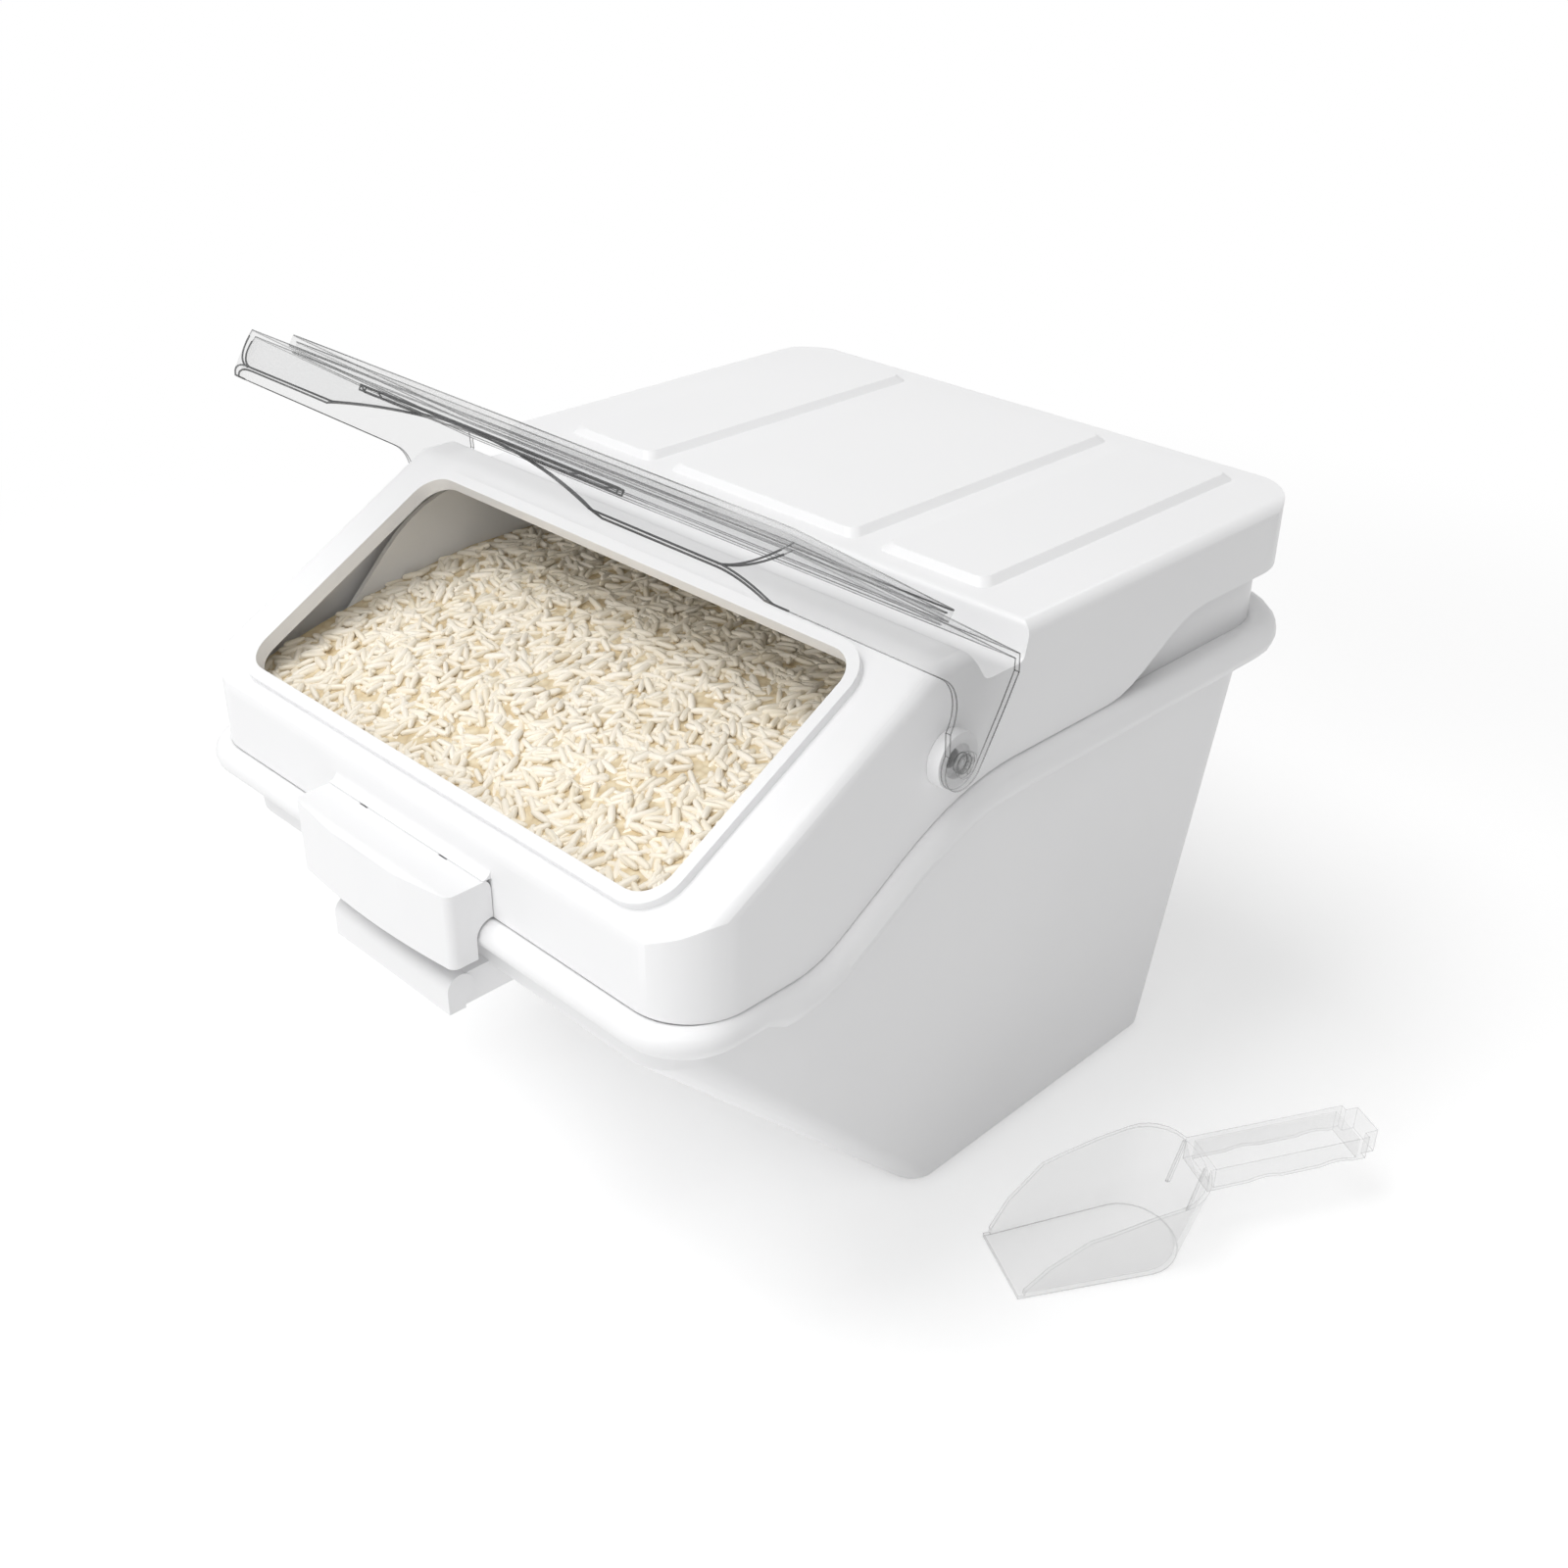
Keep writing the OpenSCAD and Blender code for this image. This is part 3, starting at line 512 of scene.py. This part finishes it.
    @staticmethod
    def fasten(piece: bpy.types.Object, body: str, slot: Slot, material: bpy.types.Material,
               nodes: Iterable[str] = ()) -> None:
        """Dresses a piece and makes it ride on a body.

        Args:
            piece: The piece.
            body: The CAD body that it moves with.
            slot: The record's material slot; not used.
            material: The piece's finish.
            nodes: The CAD nodes that it replaces.
        """
        piece.data.materials.clear()
        piece.data.materials.append(material)
        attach(piece, body)
        if nodes:
            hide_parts(*nodes)
        LOG.info("%s: %d faces on %s", piece.name, len(piece.data.polygons), body)

    def dress(self, node: str, material: bpy.types.Material) -> None:
        """Gives a CAD node that stays its finish.

        Args:
            node: The CAD node.
            material: The finish.
        """
        shown = self.frame["nodes"][node]
        shown.data.materials.clear()
        shown.data.materials.append(material)
        LOG.info("%s: dressed as it is", node)


# The clear mouldings


@dataclass
class FlipLid:
    """The clear lid: where its lines of painted shade are fine, and where they are bold.

    Its sizes are in metres from the pivot, along the lid and up from it, as the lid stands open
    by rise, in degrees above level.
    """

    pivot: tuple[float, float, float] = (0.0, -131.5 * MM, 253 * MM)
    rise: float = 33.0
    reach: float = 130 * MM
    lip_deep: float = 14 * MM
    lip_top: float = 39.5 * MM
    field_rear: float = 12 * MM
    field_edge: float = 4 * MM
    field_top: float = 44 * MM
    bold_shade_from: float = 8 * MM
    rounding: float = 0.3 * MM
    fine_shade_radius: float = 0.24 * MM
    bold_shade_radius: float = 0.36 * MM

    def gets_bold_shade(self, place: Vector) -> bool:
        """Tells the front lip's foot and the right half of the field's rear edge, which get bold
        painted shade, from the rest.

        Args:
            place: A place on an edge, in metres.

        Returns:
            Whether the painted shade there is bold.
        """
        turn = math.radians(self.rise)
        away = place - Vector(self.pivot)
        along = away.z * math.sin(turn) - away.y * math.cos(turn)
        up = away.y * math.sin(turn) + away.z * math.cos(turn)
        lip = along > self.reach - self.lip_deep and up < self.lip_top
        rear = abs(along - self.field_rear) < self.field_edge and up > self.field_top
        # Painted shade: the rear edge is bold only right of bold_shade_from.
        return lip or (rear and place.x > self.bold_shade_from)

    def build(self, bench: Bench, wall: bpy.types.Material, fine: bpy.types.Material,
              bold: bpy.types.Material) -> None:
        """Builds the lid's walls and its lines of painted shade.

        Args:
            bench: The bench.
            wall: The walls' finish.
            fine: The finish of the fine lines of painted shade.
            bold: The finish of the bold lines of painted shade.
        """
        node = "flip_lid"
        walls = bench.from_node(node, "flip_lid_moulding")
        bench.round_edges(walls, self.rounding, segments=2)
        bench.fasten(walls, "lid", Slot.CLEAR, wall, [node])
        thin = bench.edge_lines(node, "flip_lid_fine_lines", self.fine_shade_radius,
                                lambda place: not self.gets_bold_shade(place))
        bench.fasten(thin, "lid", Slot.CLEAR, fine)
        thick = bench.edge_lines(node, "flip_lid_bold_lines", self.bold_shade_radius, self.gets_bold_shade)
        bench.fasten(thick, "lid", Slot.CLEAR, bold)


@dataclass
class ClearMoulding:
    """A hinge pin or the scoop: clear walls, and a line of painted shade along every sharp edge.
    """

    node: str
    body: str
    slot: Slot
    finish: ClearPlastic
    rounding: float
    painted_shade_radius: float

    def build(self, bench: Bench) -> None:
        """Builds the moulding and its lines of painted shade.

        Args:
            bench: The bench.
        """
        walls = bench.from_node(self.node, self.node + "_moulding")
        bench.round_edges(walls, self.rounding, segments=2)
        bench.fasten(walls, self.body, self.slot, self.finish.wall("clear_wall_of_" + self.node),
                     [self.node])
        # Painted shade: grey lines along the edges.
        lines = bench.edge_lines(self.node, self.node + "_lines", self.painted_shade_radius,
                                 lambda place: True)
        bench.fasten(lines, self.body, self.slot, self.finish.line("painted_shade_of_" + self.node))


# The white mouldings


@dataclass
class WhiteMoulding:
    """One of the white mouldings of the bin, the cover or the latch, with rounded edges."""

    node: str
    body: str
    rounding: float

    def build(self, bench: Bench, material: bpy.types.Material) -> None:
        """Builds the moulding with soft edges.

        Args:
            bench: The bench.
            material: The white finish.
        """
        piece = bench.from_node(self.node, self.node + "_moulding")
        bench.round_edges(piece, self.rounding, segments=3)
        bench.fasten(piece, self.body, Slot.WHITE, material, [self.node])


# The rice


@dataclass
class RiceHeap:
    """Loose grains over the bed of rice inside the bin.

    stations give a grain's outline: how far along it, and how full it is there. layers is how
    many grains deep the heap looks. Neighbours within a swathe lie much the same way. Behind rear
    the cover hides the heap, so some grains are left out there.
    """

    length: float = 10.6 * MM
    width: float = 3.4 * MM
    thickness: float = 2.9 * MM
    sides: int = 6
    stations: tuple[tuple[float, float], ...] = (
        (-0.5, 0.2), (-0.47, 0.55), (-0.37, 0.86), (-0.12, 1.0),
        (0.18, 1.0), (0.38, 0.82), (0.47, 0.5), (0.5, 0.18))
    layers: float = 3.2
    swathe: float = 45 * MM
    stray: float = 0.75
    rear: float = -60 * MM
    left_out: float = 0.4
    reach: float = 0.62
    tilt: float = 8.0
    lift: float = 1.4 * MM
    sizes: tuple[float, float] = (0.82, 1.06)
    tones: tuple[float, float] = (0.32, 0.24)
    strips: tuple[str, ...] = ("left_end", "left", "middle", "right", "right_end")
    ray_from: float = 0.4
    lowest: float = 0.1
    seed: int = 7

    def height(self, bench: Bench) -> Callable[[float, float], float]:
        """Reads the height of the CAD heap by rays from above.

        Args:
            bench: The bench with the frame.

        Returns:
            A function that gives the height at a place, or -1 outside the heap.
        """
        node = bench.frame["nodes"]["rice_fill"]

        def at(x: float, y: float) -> float:
            """Gives the height at one place.

            Args:
                x: The place's x in metres.
                y: The place's y in metres.

            Returns:
                The height in metres, or -1 outside the heap.
            """
            above = Vector((x, y, self.ray_from))
            hit, place, _normal, _index = node.ray_cast(above, Vector((0, 0, -1)))
            return place.z if hit and place.z > self.lowest else -1.0

        return at

    def grain(self) -> tuple[np.ndarray, list[tuple[int, ...]]]:
        """Models one grain along X.

        Returns:
            The grain's points and its faces.
        """
        k = self.sides
        points, faces = [], []
        for along, girth in self.stations:
            for side in range(k):
                turn = math.tau * side / k
                points.append((along * self.length, girth * self.width / 2 * math.cos(turn),
                               girth * self.thickness / 2 * math.sin(turn)))
        for ring in range(len(self.stations) - 1):
            for side in range(k):
                a, b = ring * k + side, ring * k + (side + 1) % k
                faces.append((a, b, b + k, a + k))
        last = k * (len(self.stations) - 1)
        faces.append(tuple(range(k - 1, -1, -1)))
        faces.append(tuple(range(last, last + k)))
        return np.array(points), faces

    def scatter(self, rng: random.Random, at: Callable[[float, float], float],
                x0: float, x1: float, y0: float, y1: float) -> list[np.ndarray]:
        """Drops grains at random on a strip of the heap.

        Args:
            rng: The source of chance.
            at: The height of the heap at a place.
            x0: The strip's left side.
            x1: The strip's right side.
            y0: The strip's front.
            y1: The strip's rear.

        Returns:
            One 4 by 4 matrix for each grain.
        """
        moves = []
        count = int((x1 - x0) * (y1 - y0) / (self.length * self.width) * self.layers)
        for _ in range(count):
            x, y = rng.uniform(x0, x1), rng.uniform(y0, y1)
            drift = noise.noise(Vector((x, y, 0)) / self.swathe)
            way = math.tau * drift + rng.gauss(0, self.stray)
            if y > self.rear and rng.random() < self.left_out:
                continue
            reach = self.reach * self.length
            dx, dy = reach * math.cos(way), reach * math.sin(way)
            ahead, behind = at(x + dx, y + dy), at(x - dx, y - dy)
            if min(ahead, behind, at(x, y)) < 0:
                continue
            slope = math.atan2(ahead - behind, 2 * reach)
            spin = rng.uniform(0, math.tau)
            dip = slope + math.radians(rng.gauss(0, self.tilt))
            turn = Euler((spin, -dip, way)).to_matrix().to_4x4()
            lift = rng.uniform(-self.lift, self.lift)
            place = Matrix.Translation((x, y, (ahead + behind) / 2 + lift))
            size = Matrix.Scale(rng.uniform(*self.sizes), 4)
            moves.append(np.array(place @ turn @ size))
        return moves

    def build(self, bench: Bench, material: bpy.types.Material, bed: bpy.types.Material) -> None:
        """Scatters the grains in strips and dresses the bed in painted shade.

        Args:
            bench: The bench.
            material: The grains' finish.
            bed: The finish of the rice below them, painted in shade.
        """
        at = self.height(bench)
        low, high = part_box("rice_fill")
        points, faces = self.grain()
        rng = random.Random(self.seed)
        step = (high.x - low.x) / len(self.strips)
        for number, side in enumerate(self.strips):
            moves = self.scatter(rng, at, low.x + number * step, low.x + (number + 1) * step,
                                 low.y, high.y)
            verts = np.concatenate([points @ m[:3, :3].T + m[:3, 3] for m in moves])
            quads = [tuple(v + g * len(points) for v in face)
                     for g in range(len(moves)) for face in faces]
            tone = [min(1.0, max(0.0, rng.gauss(*self.tones))) for _ in moves]
            mesh = bpy.data.meshes.new("rice_grains_" + side)
            mesh.from_pydata(verts.tolist(), [], quads)
            mesh.attributes.new(TONE, "FLOAT", "POINT").data.foreach_set(
                "value", np.repeat(tone, len(points)).astype(np.float32))
            piece = bpy.data.objects.new(mesh.name, mesh)
            bpy.context.scene.collection.objects.link(piece)
            bench.pick(piece)
            bpy.ops.object.shade_smooth()
            bench.fasten(piece, "bin", Slot.RICE, material)
        bench.dress("rice_fill", bed)


# The studio


@dataclass(frozen=True)
class Lamp:
    """A square soft lamp: where it hangs, its side in metres and its power in watts."""

    name: str
    place: tuple[float, float, float]
    size: float
    power: float


@dataclass
class Studio:
    """Camera, floor and lamps, as in the photograph.

    The floor is its own pale colour, with a little glow for the camera. Between fade_from and
    fade_to from the bin it goes over to plain white for the camera.
    """

    azimuth: float = 44.195
    elevation: float = 30.149
    roll: float = 1.0
    lens: float = 40.886
    sensor: float = 36.0
    clip: tuple[float, float] = (0.01, 50.0)
    place: tuple[float, float, float] = (0.4889, -0.5614, 0.5567)
    floor_size: float = 12.0
    floor_height: float = -0.3 * MM
    floor_tone: float = 0.92
    floor_roughness: float = 0.8
    floor_specular: float = 0.1
    floor_glow: float = 0.28
    fade_from: float = 0.45
    fade_to: float = 1.0
    surround: float = 0.44
    aim: tuple[float, float, float] = (0.0, -0.08, 0.15)
    lamps: tuple[Lamp, ...] = (
        Lamp("key", (-0.3, -1.0, 2.2), 1.2, 25),
        Lamp("front", (0.2, -1.7, 0.8), 0.9, 4.4),
        Lamp("right", (1.1, -1.2, 1.6), 0.8, 3.5))

    @staticmethod
    def seen(tree: bpy.types.NodeTree) -> bpy.types.NodeSocket:
        """Adds a factor of 1 for camera, glossy and transmission rays.

        Args:
            tree: The material's or the world's node tree.

        Returns:
            The factor's socket.
        """
        path = tree.nodes.new("ShaderNodeLightPath")
        either = tree.nodes.new("ShaderNodeMath")
        either.operation = "MAXIMUM"
        any_of = tree.nodes.new("ShaderNodeMath")
        any_of.operation = "MAXIMUM"
        tree.links.new(path.outputs["Is Glossy Ray"], either.inputs[0])
        tree.links.new(path.outputs["Is Transmission Ray"], either.inputs[1])
        tree.links.new(path.outputs["Is Camera Ray"], any_of.inputs[0])
        tree.links.new(either.outputs["Value"], any_of.inputs[1])
        return any_of.outputs["Value"]

    def camera(self) -> None:
        """Places the camera at the photograph's viewpoint."""
        az, el, roll = (math.radians(a) for a in (self.azimuth, self.elevation, self.roll))
        ahead = Vector((-math.sin(az) * math.cos(el), math.cos(az) * math.cos(el), -math.sin(el)))
        right = Vector((math.cos(az), math.sin(az), 0))
        up = right.cross(ahead)
        side = right * math.cos(roll) + up * math.sin(roll)
        top = up * math.cos(roll) - right * math.sin(roll)
        data = bpy.data.cameras.new("camera")
        data.lens, data.sensor_width = self.lens, self.sensor
        data.clip_start, data.clip_end = self.clip
        camera = bpy.data.objects.new("camera", data)
        turn = Matrix((side, top, -ahead)).transposed().to_4x4()
        camera.matrix_world = Matrix.Translation(self.place) @ turn
        bpy.context.scene.collection.objects.link(camera)
        bpy.context.scene.camera = camera

    def floor(self) -> None:
        """Lays the pale floor, which shows white to the camera away from the bin."""
        bpy.ops.mesh.primitive_plane_add(size=self.floor_size, location=(0, 0, self.floor_height))
        floor = bpy.context.active_object
        floor.name = "studio_floor"
        material, tree, shader = new_material("pale_floor")
        nodes, links = tree.nodes, tree.links
        tone = self.floor_tone
        shader.inputs["Base Color"].default_value = (tone, tone, tone, 1)
        shader.inputs["Roughness"].default_value = self.floor_roughness
        shader.inputs["Specular IOR Level"].default_value = self.floor_specular
        place = nodes.new("ShaderNodeTexCoord")
        reach = nodes.new("ShaderNodeVectorMath")
        reach.operation = "LENGTH"
        fade = nodes.new("ShaderNodeMapRange")
        fade.interpolation_type = "SMOOTHSTEP"
        fade.inputs["From Min"].default_value = self.fade_from
        fade.inputs["From Max"].default_value = self.fade_to
        glow = nodes.new("ShaderNodeEmission")
        glow.inputs["Strength"].default_value = self.floor_glow
        white = nodes.new("ShaderNodeEmission")
        add = nodes.new("ShaderNodeAddShader")
        far = nodes.new("ShaderNodeMixShader")
        pick = nodes.new("ShaderNodeMixShader")
        links.new(place.outputs["Object"], reach.inputs[0])
        links.new(reach.outputs["Value"], fade.inputs["Value"])
        links.new(shader.outputs["BSDF"], add.inputs[0])
        links.new(glow.outputs["Emission"], add.inputs[1])
        links.new(fade.outputs["Result"], far.inputs[0])
        links.new(add.outputs["Shader"], far.inputs[1])
        links.new(white.outputs["Emission"], far.inputs[2])
        links.new(self.seen(tree), pick.inputs[0])
        links.new(shader.outputs["BSDF"], pick.inputs[1])
        links.new(far.outputs["Shader"], pick.inputs[2])
        links.new(pick.outputs["Shader"], nodes["Material Output"].inputs["Surface"])
        floor.data.materials.append(material)

    def hang(self, lamp: Lamp) -> None:
        """Hangs a lamp that looks at the bin.

        Args:
            lamp: The lamp.
        """
        data = bpy.data.lights.new(lamp.name, "AREA")
        data.shape, data.size, data.energy = "SQUARE", lamp.size, lamp.power
        hung = bpy.data.objects.new(lamp.name, data)
        hung.location = lamp.place
        way = Vector(self.aim) - Vector(lamp.place)
        hung.rotation_euler = way.to_track_quat("-Z", "Y").to_euler()
        bpy.context.scene.collection.objects.link(hung)

    def world(self) -> None:
        """Sets the surrounding light, and a white background for the camera."""
        world = bpy.data.worlds.new("studio")
        bpy.context.scene.world = world
        world.use_nodes = True
        nodes, links = world.node_tree.nodes, world.node_tree.links
        light = nodes["Background"]
        light.inputs["Color"].default_value = (1, 1, 1, 1)
        light.inputs["Strength"].default_value = self.surround
        white = nodes.new("ShaderNodeBackground")
        white.inputs["Color"].default_value = (1, 1, 1, 1)
        white.inputs["Strength"].default_value = 1.0
        pick = nodes.new("ShaderNodeMixShader")
        links.new(self.seen(world.node_tree), pick.inputs[0])
        links.new(light.outputs["Background"], pick.inputs[1])
        links.new(white.outputs["Background"], pick.inputs[2])
        links.new(pick.outputs["Shader"], nodes["World Output"].inputs["Surface"])

    def build(self) -> None:
        """Sets up camera, floor, lamps and world."""
        self.camera()
        self.floor()
        for lamp in self.lamps:
            self.hang(lamp)
        self.world()
        bpy.context.scene.view_settings.view_transform = "Standard"
        LOG.info("studio: camera, floor and %d lamps", len(self.lamps))


def main() -> None:
    """Builds every class in order."""
    logging.basicConfig(level=logging.INFO, format="%(name)s %(message)s")
    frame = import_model()
    bench = Bench(frame)
    white = WhitePlastic().make("white_plastic")
    for moulding in (
            WhiteMoulding("bin_body", "bin", 0.4 * MM),
            WhiteMoulding("front_grip", "bin", 0.8 * MM),
            WhiteMoulding("cover_shell", "cover", 0.8 * MM),
            WhiteMoulding("left_pivot_bush", "cover", 0.4 * MM),
            WhiteMoulding("right_pivot_bush", "cover", 0.4 * MM),
            WhiteMoulding("latch_bracket", "cover", 0.1 * MM),
            WhiteMoulding("front_latch", "latch", 0.6 * MM)):
        moulding.build(bench, white)
    lid = ClearPlastic()
    # Painted shade: near black lines on the lid's bold edges.
    painted_shade = ClearPlastic(painted_shade_low=0.02, painted_shade_high=0.5)
    FlipLid().build(bench, lid.wall("clear_lid_wall"), lid.line("clear_lid_painted_shade"),
                    painted_shade.line("bold_lid_painted_shade"))
    # The pins and the scoop get paler lines of painted shade.
    pin = ClearPlastic(tint=0.99, milk=0.06, grazing=0.15, body=(0.95, 0.95, 0.95),
                       painted_shade_low=0.6, painted_shade_high=0.95)
    scoop = ClearPlastic(tint=0.99, milk=0.18, grazing=0.25, body=(0.99, 0.99, 0.99),
                         painted_shade_low=0.86, painted_shade_high=0.98)
    for moulding in (
            ClearMoulding("left_hinge_pin", "lid", Slot.PIN, pin, 0.2 * MM, 0.1 * MM),
            ClearMoulding("right_hinge_pin", "lid", Slot.PIN, pin, 0.2 * MM, 0.1 * MM),
            ClearMoulding("scoop", "scoop", Slot.CLEAR, scoop, 0.4 * MM, 0.22 * MM)):
        moulding.build(bench)
    bench.dress("latch_pin", PlainSteel().make("plain_steel"))
    # The bed of rice under the grains is painted in shade.
    RiceHeap().build(bench, RiceGrain().make("rice_grain"), PaintedShadeBedOfRice().make("painted_shade_bed_of_rice"))
    Studio().build()
    bpy.context.view_layer.update()


if __name__ == "__main__":
    main()
